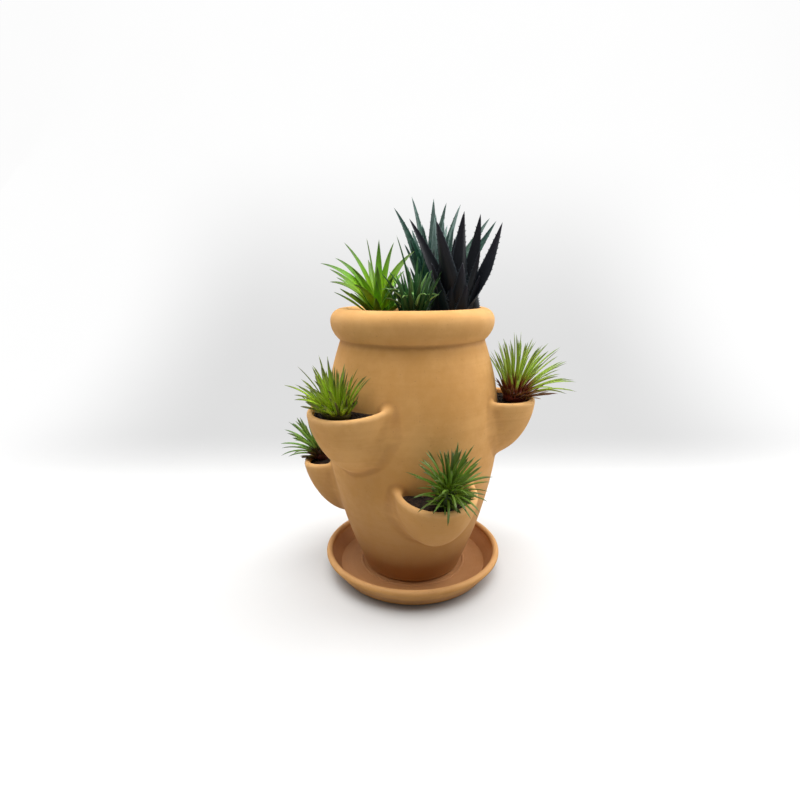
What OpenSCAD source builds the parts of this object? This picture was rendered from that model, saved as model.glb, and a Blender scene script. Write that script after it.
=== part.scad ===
// Strawberry jar planter. A thrown clay jar with a rolled collar carries six luted side
// pockets and stands in its own saucer. It is filled with potting mix over a drain shard,
// and ten small artificial plants on picks stand in the mouth and in the pockets.
// Millimetres, +Z up, origin on the table under the middle of the saucer, and the front
// of the jar faces -Y. Azimuths are degrees about Z, counted from +X.

/* [Saucer] */
// Outside diameter of the saucer over its rim
saucer_d = 185.6; // [180:0.2:200]
// Height of the rim above the table
saucer_h = 24.5; // [20:0.5:30]
// Diameter of the flat underside
saucer_foot_d = 150; // [130:1:158]
// Thickness of the saucer's floor
saucer_floor = 7; // [5:0.5:9]
// Thickness of the saucer's sloping wall
saucer_wall = 4.2; // [3.5:0.1:4.8]
// Setback of the bevel round the saucer's underside
saucer_bevel = 4; // [2:0.5:5]
// Thickness of the rounded rim
saucer_rim = 6.5; // [5:0.5:8]
// Height of the low ridge that rings the jar's foot
ridge_h = 0.8; // [0.5:0.1:2]
// Width of that ridge
ridge_w = 3; // [2:0.5:5]
// Gap between the jar's foot and the ridge
ridge_gap = 3.5; // [2:0.5:6]

/* [Jar] */
// Outside diameter of the flank at the foot
foot_d = 100; // [90:1:106]
// Radius that rounds the edge of the foot
foot_round = 5; // [3:0.5:7]
// Height of the lower flank above the foot
flank_h = 60; // [50:1:75]
// Outside diameter of the lower flank
flank_d = 143.4; // [136:0.2:150]
// Height of the widest part above the foot
belly_h = 158; // [150:1:166]
// Outside diameter at the widest part
belly_d = 173.8; // [168:0.2:182]
// Height of the shoulder above the foot
shoulder_h = 200; // [192:1:208]
// Outside diameter at the shoulder
shoulder_d = 164.6; // [156:0.2:168]
// Height of the crease under the collar above the foot
neck_h = 240; // [232:1:250]
// Outside diameter in the crease
neck_d = 142; // [136:1:150]
// Thickness of the jar's wall
wall = 7; // [5:0.5:9]
// Thickness of the jar's floor
floor_t = 9; // [7:0.5:12]
// Diameter of the drain hole
drain_d = 14; // [10:1:20]

/* [Collar] */
// Outside diameter of the rolled collar
collar_d = 160; // [154:1:170]
// Height of the collar above the crease
collar_h = 30; // [26:1:36]
// Clear diameter of the mouth
mouth_d = 122; // [114:1:126]
// Radius of the collar's outer shoulder
collar_round = 12; // [8:0.5:14]
// Radius of the mouth's inner edge
mouth_round = 7; // [4:0.5:8]

/* [Pockets] */
// Height of the upper pockets' lips above the jar's foot
upper_lip_h = 184; // [178:1:188]
// Height of the lower pockets' lips above the jar's foot
lower_lip_h = 113; // [107:1:119]
// Azimuth of the first upper pocket
upper_azimuth = -131; // [-140:1:-120]
// Azimuth of the first lower pocket
lower_azimuth = -75; // [-84:1:-64]
// Outside diameter of the widest pocket's lip
pocket_d = 82; // [78:1:87]
// Depth of a middling pocket from its lip to its lowest point
pocket_depth = 60; // [54:1:64]
// Thickness of a pocket's wall and lip
pocket_wall = 6; // [4.5:0.5:8]
// Fullness of a pocket's bowl, 2 being a round bowl and 1 a cone
pocket_full = 1.8; // [1.6:0.05:2]
// Distance from the jar's face in to the middle of a pocket's lip
pocket_sink = 2; // [0:0.5:4]
// Outward tilt of the upper pockets in degrees
upper_tilt = 5; // [3:0.5:8]
// Outward tilt of the lower pockets in degrees
lower_tilt = 10; // [8:0.5:13]
// Diameter of the window through the wall behind each pocket
window_d = 30; // [22:1:32]
// Drop from a pocket's lip to the middle of its window
window_drop = 25; // [22:1:27]

/* [Filling] */
// Drop from the collar's crest to the mix in the mouth
mix_drop = 10; // [7:0.5:13]
// Drop from a pocket's lip to its mix
pocket_mix_drop = 5; // [4.5:0.5:8]
// Length and width of the drain shard
shard_l = 44; // [36:1:50]
// Thickness of the drain shard
shard_t = 5; // [4:0.5:7]
// Radius to which the drain shard bows over the hole
shard_bow = 48; // [42:1:70]

/* [Picks] */
// Diameter of a plant's pick
pick_d = 7; // [5:0.5:8]
// Length of pick in the mix under a mouth plant
pick_l = 32; // [24:1:40]
// Length of pick in the mix under a pocket tuft
tuft_pick_l = 20; // [14:1:22]
// Clearance round a pick in the mix
pick_gap = 0.4; // [0.3:0.1:0.8]
// Gap between the mix and a plant's leaves
leaf_gap = 0.5; // [0.4:0.1:1.5]

/* [Pocket tufts] */
// Distance from the middle of a pocket's lip out to its tuft
tuft_out = 18; // [16:0.5:18.5]
// Radius of the crown in which a tuft's needles meet
tuft_crown_r = 12; // [10:0.5:12.5]
// Height of that crown
tuft_crown_h = 12; // [11:0.5:14]
// Number of needles in a tuft
tuft_n = 26; // [14:1:28]
// Length of the needles of the upper left tuft, which the others follow
needle_l = 58; // [44:1:62]
// Width of a needle
needle_w = 3; // [2:0.2:3.6]

/* [Mouth plants] */
// Place of the dark aloe to the right of the middle of the mouth
dark_x = 41; // [36:1:42]
// Place of the dark aloe behind the middle of the mouth
dark_y = -18; // [-20:1:-14]
// Length of the dark aloe's leaves
dark_leaf_l = 88; // [78:1:96]
// Width of the dark aloe's leaves
dark_leaf_w = 21; // [14:1:23]
// Place of the teal aloe to the right of the middle of the mouth
teal_x = 20; // [16:1:22]
// Place of the teal aloe behind the middle of the mouth
teal_y = 24; // [22:1:30]
// Length of the teal aloe's leaves
teal_leaf_l = 108; // [90:1:116]
// Width of the teal aloe's leaves
teal_leaf_w = 12; // [9:1:14]
// Place of the green rosette to the right of the middle of the mouth
rosette_x = -32; // [-36:1:-30]
// Place of the green rosette behind the middle of the mouth
rosette_y = -10; // [-14:1:-6]
// Length of the green rosette's leaves
rosette_leaf_l = 70; // [56:1:74]
// Width of the green rosette's leaves
rosette_leaf_w = 8; // [6:1:9]
// Place of the fine sprig to the right of the middle of the mouth
sprig_x = 1; // [-2:1:3]
// Place of the fine sprig behind the middle of the mouth
sprig_y = -40; // [-42:1:-38]
// Length of the fine sprig's leaves
sprig_leaf_l = 52; // [40:1:58]
// Width of the fine sprig's leaves
sprig_leaf_w = 4; // [2.5:0.5:5]
// Radius of the crown in which a mouth plant's leaves meet
crown_r = 11; // [9:1:13]
// Height of that crown
crown_h = 8; // [6:1:12]

/* [Hidden] */
$fn = 96;
lip_steps = 6;      // facets round a lip or an edge
flank_steps = 26;   // rings up the jar's flank
bowl_steps = 11;    // rings down a pocket's bowl
golden = 137.508;   // turn from one leaf to the next, degrees
needle_bend = 28;   // droop of an outward needle from root to tip, degrees
needle_t = 0.7;     // thickness of a needle as a share of its width
leaf_tip = 0.5;     // width and thickness of a leaf at its tip
pick_point = 1;     // diameter of a pick's blunted point
crown_fn = 14;      // sides of a crown
crown_seat = 0.8;   // share of a crown's reach at which its outermost leaves start
crown_fall = 0.4;   // share of a crown's height by which they start lower
shard_turn = 20;    // turn of the shard about the drain hole, degrees

clay = [0.80, 0.58, 0.38];
clay_inside = [0.62, 0.38, 0.24];
soil = [0.09, 0.06, 0.05];

foot_z = saucer_floor;                      // table to the jar's foot
jar_h = neck_h + collar_h;                  // foot to the collar's crest
mix_h = jar_h - mix_drop;                   // foot to the mix in the mouth

// Each pocket: name, azimuth, height of its lip above the foot, tilt, its shares of
// pocket_d and of pocket_depth. The jar is made by hand, so the pockets of a row differ
// a little in level, spacing, tilt and size.
pockets = [
    ["upper_left", upper_azimuth, upper_lip_h + 3, upper_tilt + 3, 1, 1.1],
    ["upper_right", upper_azimuth + 126, upper_lip_h, upper_tilt - 2, 0.96, 1],
    ["upper_back", upper_azimuth + 246, upper_lip_h, upper_tilt, 1, 1],
    ["lower_front", lower_azimuth, lower_lip_h, lower_tilt, 0.92, 0.95],
    ["lower_back", lower_azimuth + 121, lower_lip_h, lower_tilt, 0.97, 1],
    ["lower_left", lower_azimuth + 241, lower_lip_h, lower_tilt + 1, 0.96, 1.1],
];

// Each pocket tuft: its step out from tuft_out and along the wall, its lean from upright,
// its needles' share of needle_l, how far its outermost needles lean from its own axis
// [outwards, sideways, inwards], and its crown's shares [outwards, along the wall, up]
tufts = [
    [0, -2, 6, 0.79, [57, 43, 18], [0.90, 1.40, 0.90]],
    [2, 1, 12, 1.00, [72, 50, 24], [1.00, 1.25, 1.25]],
    [0, 4, 10, 0.94, [62, 50, 22], [0.90, 1.25, 1.00]],
    [1, 3, 24, 0.80, [60, 76, 20], [0.65, 0.75, 2.00]],
    [0, -4, 26, 0.88, [52, 60, 20], [0.80, 1.00, 1.15]],
    [2, 0, 44, 0.74, [38, 50, 42], [0.65, 0.85, 1.40]],
];
tuft_colors = [
    [0.36, 0.52, 0.10], [0.42, 0.50, 0.14], [0.36, 0.52, 0.12],
    [0.16, 0.42, 0.10], [0.30, 0.48, 0.14], [0.22, 0.46, 0.12],
];

// The leaves of each mouth plant, from the innermost out: azimuth, lean at the root, bend
// from root to tip, and share of the plant's leaf length
dark_leaves = [
    [-65, 4, 6, 0.97], [95, 4, 4, 0.74], [-125, 17, 10, 0.93], [25, 17, -10, 1.00],
    [177, 19, 10, 1.02], [-35, 22, -10, 0.64], [140, 9, 6, 0.88], [-80, 20, -8, 0.52],
    [-155, 24, -6, 0.54], [-10, 28, -14, 0.96],
];
teal_leaves = [
    [80, 3, 4, 0.97], [-140, 3, 10, 0.74], [60, 3, 22, 0.99], [-10, 6, 8, 0.70],
    [140, 3, 16, 1.02], [20, 9, 9, 0.94], [40, 8, 20, 1.00], [175, 5, 26, 0.95],
    [120, 16, 12, 0.80], [0, 14, 3, 0.86], [205, 10, 20, 0.62], [70, 22, 10, 0.90],
    [35, 30, 12, 1.06], [8, 34, -2, 0.95],
];
rosette_leaves = [
    [80, 2, 4, 0.94], [150, 5, 8, 0.97], [20, 2, 20, 0.93], [-90, 8, 16, 0.62],
    [190, 6, 36, 1.00], [-40, 12, 30, 0.56], [25, 6, 50, 0.97], [110, 18, 30, 0.86],
    [175, 10, 52, 0.92], [-130, 16, 40, 0.74], [185, 16, 62, 1.00], [60, 30, 34, 0.84],
    [205, 28, 36, 0.84], [250, 38, 46, 0.80], [215, 26, 62, 0.80], [145, 38, 34, 0.86],
    [228, 58, 4, 0.68], [100, 46, 26, 0.72],
];
sprig_leaves = [
    [60, 4, 10, 0.95], [175, 2, 18, 1.30], [-100, 8, 24, 0.74], [20, 6, 8, 0.88],
    [120, 6, 14, 0.84], [-55, 12, 30, 0.78], [-150, 14, 30, 0.82], [-15, 10, 20, 0.68],
    [200, 28, 14, 0.84], [-125, 25, 50, 0.64], [-75, 24, 50, 0.58], [-30, 26, 46, 0.56],
];

// Each mouth plant: name, place in the mouth, length and width of its leaves, their
// thickness as a share of their width, its crown's share of crown_r, its colour, its leaves
mouth_plants = [
    ["aloe_dark", dark_x, dark_y, dark_leaf_l, dark_leaf_w, 0.24, 1.1,
        [0.07, 0.09, 0.10], dark_leaves],
    ["aloe_teal", teal_x, teal_y, teal_leaf_l, teal_leaf_w, 0.33, 0.9,
        [0.10, 0.30, 0.22], teal_leaves],
    ["rosette_green", rosette_x, rosette_y, rosette_leaf_l, rosette_leaf_w, 0.3, 0.8,
        [0.30, 0.55, 0.10], rosette_leaves],
    ["sprig_fine", sprig_x, sprig_y, sprig_leaf_l, sprig_leaf_w, 0.5, 0.6,
        [0.10, 0.33, 0.10], sprig_leaves],
];

// ---- The jar's outline --------------------------------------------------------------

// Stations up the flank: height above the foot, outside radius
stations = [
    [0, foot_d / 2], [flank_h, flank_d / 2], [belly_h, belly_d / 2],
    [shoulder_h, shoulder_d / 2], [neck_h, neck_d / 2],
];
last_station = len(stations) - 1;

function chord(i) = (stations[i + 1][1] - stations[i][1]) / (stations[i + 1][0] - stations[i][0]);
function span(i) = stations[i + 1][0] - stations[i][0];
function slope(i) =
    i == 0 ? 1.5 * chord(0) - 0.5 * slope(1) :
    i == last_station ? 1.5 * chord(i - 1) - 0.5 * slope(i - 1) :
    (span(i) * chord(i - 1) + span(i - 1) * chord(i)) / (span(i - 1) + span(i));

// Smooth curve through the stations
function curve(i, h) =
    let (s = span(i), t = (h - stations[i][0]) / s)
    (2 * t ^ 3 - 3 * t ^ 2 + 1) * stations[i][1] + (t ^ 3 - 2 * t ^ 2 + t) * s * slope(i)
    + (3 * t ^ 2 - 2 * t ^ 3) * stations[i + 1][1] + (t ^ 3 - t ^ 2) * s * slope(i + 1);

function jar_r(h, i = 0) =
    i == last_station - 1 || h <= stations[i + 1][0] ? curve(i, h) : jar_r(h, i + 1);

// Points on an arc about c, from angle a0 to a1
function arc(c, r, a0, a1, n = lip_steps) =
    [for (i = [0:n]) let (a = a0 + (a1 - a0) * i / n) c + r * [cos(a), sin(a)]];

function flank(h0, thick) =
    [for (i = [0:flank_steps]) let (h = h0 + (neck_h - h0) * i / flank_steps)
        [jar_r(h) - thick, h]];

foot_points = arc([jar_r(foot_round) - foot_round, foot_round], foot_round, -90, 0);
inner_points = flank(floor_t, wall);

// From the crease out to the collar's widest part, round its shoulder and into the mouth
collar_mid = jar_h - collar_round;
collar_points = concat(
    [for (i = [1:lip_steps]) let (t = i / lip_steps)
        [neck_d / 2 + (collar_d - neck_d) / 2 * sin(90 * t ^ 0.8),
         neck_h + (collar_mid - neck_h) * t]],
    arc([collar_d / 2 - collar_round, collar_mid], collar_round, 15, 90),
    arc([mouth_d / 2 + mouth_round, jar_h - mouth_round], mouth_round, 90, 180),
    [[mouth_d / 2, neck_h + (jar_h - neck_h) / 3]]
);

// ---- Places -------------------------------------------------------------------------

module on_foot() {
    translate([0, 0, foot_z]) children();
}

// The middle of a pocket's lip, with X outwards and the pocket's own tilt
module at_pocket(p) {
    rotate([0, 0, p[1]])
        translate([jar_r(p[2]) - pocket_sink, 0, foot_z + p[2]])
            rotate([0, p[3], 0]) children();
}

// The top of the mix where a pocket tuft stands, with Z along its pick
module at_tuft(p, t) {
    at_pocket(p) translate([tuft_out + t[0], t[1], -pocket_mix_drop])
        rotate([0, t[2] - p[3], 0]) children();
}

// The top of the mix where a mouth plant stands
module at_mouth(m) {
    translate([m[1], m[2], foot_z + mix_h]) children();
}

// ---- Saucer -------------------------------------------------------------------------

module saucer() {
    rim_r = saucer_rim / 2;
    rim_c = [saucer_d / 2 - rim_r, saucer_h - rim_r];
    foot_edge = [saucer_foot_d / 2 + saucer_bevel, saucer_bevel / 2];
    // The wall rises from the bevel and meets the rim's round as a tangent
    rise = rim_c - foot_edge;
    slope_angle = atan2(rise[1], rise[0]) - asin(rim_r / norm(rise));
    slant = [cos(slope_angle), sin(slope_angle)];
    rim = arc(rim_c, rim_r, slope_angle - 90,
              slope_angle + 90 + acos((saucer_wall - rim_r) / rim_r), 3 * lip_steps);
    rim_end = rim[len(rim) - 1];
    ridge_r = foot_d / 2 + ridge_gap + ridge_w / 2;
    color(clay_inside) rotate_extrude() polygon(concat(
        [[0, 0], [saucer_foot_d / 2, 0], foot_edge], rim,
        [
            rim_end - slant * (rim_end[1] - saucer_floor) / slant[1],
            [ridge_r + ridge_w / 2, saucer_floor],
            [ridge_r + ridge_w / 4, saucer_floor + ridge_h],
            [ridge_r - ridge_w / 4, saucer_floor + ridge_h],
            [ridge_r - ridge_w / 2, saucer_floor],
            [0, saucer_floor],
        ]
    ));
}

// ---- Jar ----------------------------------------------------------------------------

// The space inside the jar's outer face, up to the crease
module jar_form() {
    on_foot() rotate_extrude()
        polygon(concat([[0, 0]], foot_points, flank(foot_round, 0), [[0, neck_h]]));
}

// The window behind a pocket, from inside the jar to reach beyond its face
module window(p, reach) {
    face = jar_r(p[2] - window_drop);
    rotate([0, 0, p[1]]) translate([face / 2, 0, foot_z + p[2] - window_drop])
        rotate([0, 90, 0]) cylinder(d = window_d, h = face / 2 + reach);
}

module jar_body() {
    color(clay) difference() {
        on_foot() rotate_extrude() polygon(concat(
            [[drain_d / 2, 0]], foot_points, flank(foot_round, 0), collar_points,
            [for (i = [flank_steps:-1:0]) inner_points[i]], [[drain_d / 2, floor_t]]
        ));
        for (p = pockets) window(p, wall);
    }
}

// ---- Pockets ------------------------------------------------------------------------

// Quarter outline of a bowl, from its brim down to its lowest point on the axis
function bowl(r, depth) =
    [for (i = [0:bowl_steps]) let (a = 90 * i / bowl_steps)
        [r * cos(a) ^ (2 / pocket_full), -depth * sin(a) ^ (2 / pocket_full)]];

function lowered(points, by) = [for (q = points) q - [0, by]];

lip_r = pocket_wall / 2;
function pocket_r(p) = p[4] * pocket_d / 2;

// Outline of a pocket's bowl, thick within its outer face
function bowl_face(p, thick) =
    lowered(bowl(pocket_r(p) - thick, p[5] * pocket_depth - lip_r - thick), lip_r);

module pocket(p) {
    inside = bowl_face(p, pocket_wall);
    color(clay) difference() {
        at_pocket(p) rotate_extrude() polygon(concat(
            bowl_face(p, 0), [for (i = [bowl_steps:-1:1]) inside[i]],
            arc([pocket_r(p) - lip_r, -lip_r], lip_r, 180, 0)
        ));
        jar_form();
    }
}

// ---- Filling ------------------------------------------------------------------------

// A piece of broken pot, bowed over the drain hole
module shard_space(thick) {
    intersection() {
        translate([0, 0, floor_t - sqrt((shard_bow - shard_t) ^ 2 - (shard_l / 2) ^ 2)])
            rotate([90, 0, shard_turn]) difference() {
                cylinder(r = shard_bow, h = 2 * shard_l, center = true);
                if (thick < shard_bow)
                    cylinder(r = shard_bow - thick, h = 3 * shard_l, center = true);
            }
        translate([0, 0, floor_t]) linear_extrude(shard_l) shard_outline();
    }
}

module shard_outline() {
    polygon(shard_l / 2 * [[-0.9, -0.6], [-0.1, -1], [0.9, -0.7], [1, 0.4], [0.2, 0.95], [-0.8, 0.7]]);
}

module drain_shard() {
    color(clay_inside) on_foot() shard_space(shard_t);
}

module pick_bore(depth) {
    translate([0, 0, -depth - pick_gap]) cylinder(d = pick_d + 2 * pick_gap, h = depth + mix_drop);
}

module mix_core() {
    color(soil) difference() {
        on_foot() rotate_extrude() polygon(concat(
            [[0, floor_t]], inner_points,
            [[mouth_d / 2, neck_h + (jar_h - neck_h) / 3], [mouth_d / 2, mix_h], [0, mix_h]]
        ));
        on_foot() shard_space(shard_bow);
        for (m = mouth_plants) at_mouth(m) pick_bore(pick_l);
    }
}

// The mix in a pocket, with its neck through the window to the mix in the jar
module pocket_mix(p, t) {
    color(soil) difference() {
        union() {
            difference() {
                at_pocket(p) intersection() {
                    rotate_extrude() polygon(concat([[0, -lip_r]], bowl_face(p, pocket_wall)));
                    translate([0, 0, -pocket_mix_drop - pocket_d])
                        cylinder(r = pocket_d, h = pocket_d);
                }
                jar_form();
            }
            window(p, 2);
        }
        on_foot() rotate_extrude() polygon(concat([[0, floor_t]], inner_points, [[0, neck_h]]));
        at_tuft(p, t) pick_bore(tuft_pick_l);
    }
}

// ---- Plants -------------------------------------------------------------------------

// A round pick with a pointed end. Its head is cut flush with the underside of the leaves,
// which it is welded to.
module pick(depth, tilt) {
    color([0.2, 0.32, 0.12]) {
        difference() {
            translate([0, 0, pick_d - depth]) cylinder(d = pick_d, h = depth);
            over_mix(tilt) cylinder(d = 3 * pick_d, h = 2 * pick_d);
        }
        translate([0, 0, -depth]) cylinder(d1 = pick_point, d2 = pick_d, h = pick_d);
    }
}

// The underside of a plant's leaves, which lies just above the mix, at tilt to its axis
module over_mix(tilt) {
    rotate([0, -tilt, 0]) translate([0, 0, leaf_gap]) children();
}

// Width and thickness of a leaf at share s of its length, as shares of its full ones
function blade_w(s) = (1 - s) ^ 0.8 * min(1, 0.75 + 1.5 * s);
function blade_t(s) = sqrt(1 - s);

// Cross-section of a leaf at share s of its length: a keeled blade on a curve of radius r
module leaf_rib(leaf_l, leaf_w, leaf_t, lean, bend, s) {
    r = leaf_l / bend * 180 / PI;
    a = lean + bend * s;
    w = max(leaf_tip, leaf_w * blade_w(s));
    t = max(leaf_tip, leaf_t * blade_t(s));
    translate([r * (cos(lean) - cos(a)), 0, r * (sin(a) - sin(lean))])
        rotate([0, a, 0]) linear_extrude(leaf_tip / 2)
            polygon([[-t / 2, -w / 2], [-t / 2, w / 2], [t / 2, 0]]);
}

module leaf(leaf_l, leaf_w, leaf_t, lean, bend, steps) {
    for (i = [0:steps - 1]) hull() {
        leaf_rib(leaf_l, leaf_w, leaf_t, lean, bend, i / steps);
        leaf_rib(leaf_l, leaf_w, leaf_t, lean, bend, (i + 1) / steps);
    }
}

// Leaves round an axis, from the innermost out. Each row holds a leaf's azimuth, lean,
// bend and share of the length. The outer ones start lower and further out on the crown,
// which reaches crown[0] outwards, crown[1] sideways and crown[2] up.
module leaves(rows, leaf_l, leaf_w, leaf_t, crown, steps) {
    for (i = [0:len(rows) - 1]) {
        q = rows[i];
        out = sqrt((i + 0.5) / len(rows));
        seat = crown_seat * out;
        translate([seat * crown[0] * cos(q[0]), seat * crown[1] * sin(q[0]),
                   crown[2] * (1 - crown_fall * out ^ 2)])
            rotate([0, 0, q[0]]) leaf(leaf_l * q[3], leaf_w, leaf_t, q[1], q[2], steps);
    }
}

// Rows for a tuft's needles, each the golden angle on from the last. The first stand
// upright in the middle and the outermost lean by reach: outwards, sideways or inwards.
// Those that face inwards are shorter and bend less.
function needle_rows(reach) = [
    for (i = [0:tuft_n - 1])
        let (u = (i + 0.5) / tuft_n, az = i * golden, inward = (1 - cos(az)) / 2,
             far = reach[1] * sin(az) ^ 2 + reach[cos(az) > 0 ? 0 : 2] * cos(az) ^ 2)
            [az, far * u ^ 0.7, needle_bend * (1 - 0.7 * inward), 1 - 0.12 * u - 0.14 * u * inward]
];

// The solid crown in which the leaves meet, over the pick. Its outline holds shares of
// its reach and of its height.
module crown_form(crown) {
    scale(crown) rotate_extrude($fn = crown_fn)
        polygon([[0, -0.6], [0.8, -0.6], [1, 0.5], [0.4, 1.1], [0, 1.1]]);
}

// Everything of a plant that lies above the underside of its leaves
module above_mix(tilt) {
    difference() {
        children();
        over_mix(tilt) translate([0, 0, -pocket_d]) cylinder(r = pocket_d, h = pocket_d, $fn = 24);
    }
}

module tuft(p, t) {
    crown = [t[5][0] * tuft_crown_r, t[5][1] * tuft_crown_r, t[5][2] * tuft_crown_h];
    above_mix(t[2] - p[3]) {
        crown_form(crown);
        leaves(needle_rows(t[4]), needle_l * t[3], needle_w, needle_t * needle_w, crown, 4);
    }
}

module mouth_plant(m) {
    crown = [m[6] * crown_r, m[6] * crown_r, crown_h];
    above_mix(0) {
        crown_form(crown);
        leaves(m[8], m[3], m[4], m[4] * m[5], crown, 5);
    }
}

// ---- Nodes --------------------------------------------------------------------------

saucer();
jar_body();
drain_shard();
mix_core();
for (i = [0:len(pockets) - 1]) {
    p = pockets[i];
    pocket(p);
    pocket_mix(p, tufts[i]);
    at_tuft(p, tufts[i]) pick(tuft_pick_l, tufts[i][2] - p[3]);
    color(tuft_colors[i]) at_tuft(p, tufts[i]) tuft(p, tufts[i]);
}
for (m = mouth_plants) {
    at_mouth(m) pick(pick_l, 0);
    color(m[7]) at_mouth(m) mouth_plant(m);
}
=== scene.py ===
import math
import random

import bmesh
import bpy
import numpy as np
from mathutils import Matrix, Vector


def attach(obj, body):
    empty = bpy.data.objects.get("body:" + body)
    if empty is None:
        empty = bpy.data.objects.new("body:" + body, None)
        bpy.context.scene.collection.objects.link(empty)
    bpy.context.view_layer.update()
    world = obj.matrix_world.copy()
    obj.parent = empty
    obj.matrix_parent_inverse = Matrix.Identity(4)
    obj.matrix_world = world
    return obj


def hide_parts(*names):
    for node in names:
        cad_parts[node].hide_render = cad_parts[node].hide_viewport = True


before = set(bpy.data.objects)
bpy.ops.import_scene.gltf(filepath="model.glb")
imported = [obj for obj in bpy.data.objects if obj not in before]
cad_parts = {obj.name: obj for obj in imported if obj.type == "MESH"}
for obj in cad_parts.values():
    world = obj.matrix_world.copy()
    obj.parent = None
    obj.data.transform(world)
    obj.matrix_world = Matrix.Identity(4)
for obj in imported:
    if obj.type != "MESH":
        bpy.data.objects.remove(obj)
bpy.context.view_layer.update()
mm = 0.001
golden = 137.508  # degrees from one leaf of a crown to the next


def newObject(name, mesh):
    made = bpy.data.objects.new(name, mesh)
    bpy.context.scene.collection.objects.link(made)
    return made


def meshFrom(name, bm, seam=1e-6):
    bmesh.ops.remove_doubles(bm, verts=bm.verts, dist=seam)
    bmesh.ops.recalc_face_normals(bm, faces=bm.faces)
    for face in bm.faces:
        face.smooth = True
    mesh = bpy.data.meshes.new(name)
    bm.to_mesh(mesh)
    bm.free()
    return mesh


def placePiece(name, mesh, body, materials, nodes=()):
    for material in materials:
        mesh.materials.append(material)
    piece = newObject(name, mesh)
    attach(piece, body)
    if nodes:
        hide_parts(*nodes)
    return piece


# Turns an outline of (radius, height) points in millimetres about its own axis.
def spinOutline(bm, outline, steps, place=Matrix.Identity(4)):
    ring = [bm.verts.new((r * mm, 0.0, z * mm)) for r, z in outline]
    edges = [bm.edges.new(pair) for pair in zip(ring, ring[1:])]
    before = set(bm.verts)
    bmesh.ops.spin(
        bm,
        geom=ring + edges,
        cent=(0, 0, 0),
        axis=(0, 0, 1),
        angle=math.tau,
        steps=steps,
        use_merge=True,
    )
    made = list((set(bm.verts) - before) | {v for v in ring if v.is_valid})
    bmesh.ops.remove_doubles(bm, verts=made, dist=1e-6)
    made = [v for v in made if v.is_valid]
    bmesh.ops.transform(bm, matrix=place, verts=made)
    return made


def arcPoints(middle, radius, start, end, count):
    turns = (math.radians(start + (end - start) * i / count) for i in range(count + 1))
    return [(middle[0] + radius * math.cos(a), middle[1] + radius * math.sin(a)) for a in turns]


jar = {
    "footZ": 7.0,
    "stations": [(0, 50), (60, 71.7), (158, 86.9), (200, 82.3), (240, 71)],
    "footRound": 5.0,
    "neckH": 240.0,
    "collarH": 30.0,
    "collarR": 80.0,
    "neckR": 71.0,
    "mouthR": 61.0,
    "collarRound": 12.0,
    "mouthRound": 7.0,
    "drainR": 7.0,
    "drainDeep": 20.0,
    "wellDeep": 22.0,
    "mixDrop": 10.0,
}
pocket = {
    "width": 82.0,
    "depth": 60.0,
    "wall": 6.0,
    "full": 1.8,
    "sink": 2.0,
    "mixDrop": 5.0,
    "wellDeep": 14.0,
    # azimuth, height of the lip above the foot, tilt, shares of the width and of the depth
    "places": {
        "upper_left": (-131, 187, 8, 1.0, 1.1),
        "upper_right": (-5, 184, 3, 0.96, 1.0),
        "upper_back": (115, 184, 5, 1.0, 1.0),
        "lower_front": (-75, 113, 10, 0.92, 0.95),
        "lower_back": (46, 113, 10, 0.97, 1.0),
        "lower_left": (166, 113, 11, 0.96, 1.1),
    },
}


def stationSlopes(stations):
    spans = [b[0] - a[0] for a, b in zip(stations, stations[1:])]
    chords = [(b[1] - a[1]) / (b[0] - a[0]) for a, b in zip(stations, stations[1:])]
    inner = [
        (spans[i] * chords[i - 1] + spans[i - 1] * chords[i]) / (spans[i - 1] + spans[i])
        for i in range(1, len(spans))
    ]
    first = 1.5 * chords[0] - 0.5 * inner[0]
    last = 1.5 * chords[-1] - 0.5 * inner[-1]
    return [first] + inner + [last]


flankSlopes = stationSlopes(jar["stations"])


# Outside radius of the jar's flank at a height above its foot.
def jarRadius(height):
    stations = jar["stations"]
    i = 0
    while i < len(stations) - 2 and height > stations[i + 1][0]:
        i += 1
    (h0, r0), (h1, r1) = stations[i], stations[i + 1]
    s = h1 - h0
    t = (height - h0) / s
    return (
        (2 * t**3 - 3 * t**2 + 1) * r0
        + (t**3 - 2 * t**2 + t) * s * flankSlopes[i]
        + (3 * t**2 - 2 * t**3) * r1
        + (t**3 - t**2) * s * flankSlopes[i + 1]
    )


def turnZ(degrees):
    return Matrix.Rotation(math.radians(degrees), 4, "Z")


def turnY(degrees):
    return Matrix.Rotation(math.radians(degrees), 4, "Y")


def shift(x, y, z):
    return Matrix.Translation((x * mm, y * mm, z * mm))


def atPocket(name):
    azimuth, lip, tilt = pocket["places"][name][:3]
    out = jarRadius(lip) - pocket["sink"]
    return turnZ(azimuth) @ shift(out, 0, jar["footZ"] + lip) @ turnY(tilt)


colourKind, valueKind = "NodeSocketColor", "NodeSocketFloat"


def feed(tree, socket, value):
    if isinstance(value, bpy.types.NodeSocket):
        tree.links.new(value, socket)
    else:
        socket.default_value = value


def addNode(tree, kind, inputs=None, **settings):
    node = tree.nodes.new(kind)
    for key, value in settings.items():
        setattr(node, key, value)
    for key, value in (inputs or {}).items():
        feed(tree, node.inputs[key], value)
    return node


def mixColours(tree, factor, first, second, blend="MIX"):
    node = tree.nodes.new("ShaderNodeMix")
    node.data_type = "RGBA"
    node.blend_type = blend
    # of the Mix node's sockets, 0 is the factor and 6 and 7 are its colours
    for place, value in ((0, factor), (6, first), (7, second)):
        feed(tree, node.inputs[place], value)
    return node.outputs[2]


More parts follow.
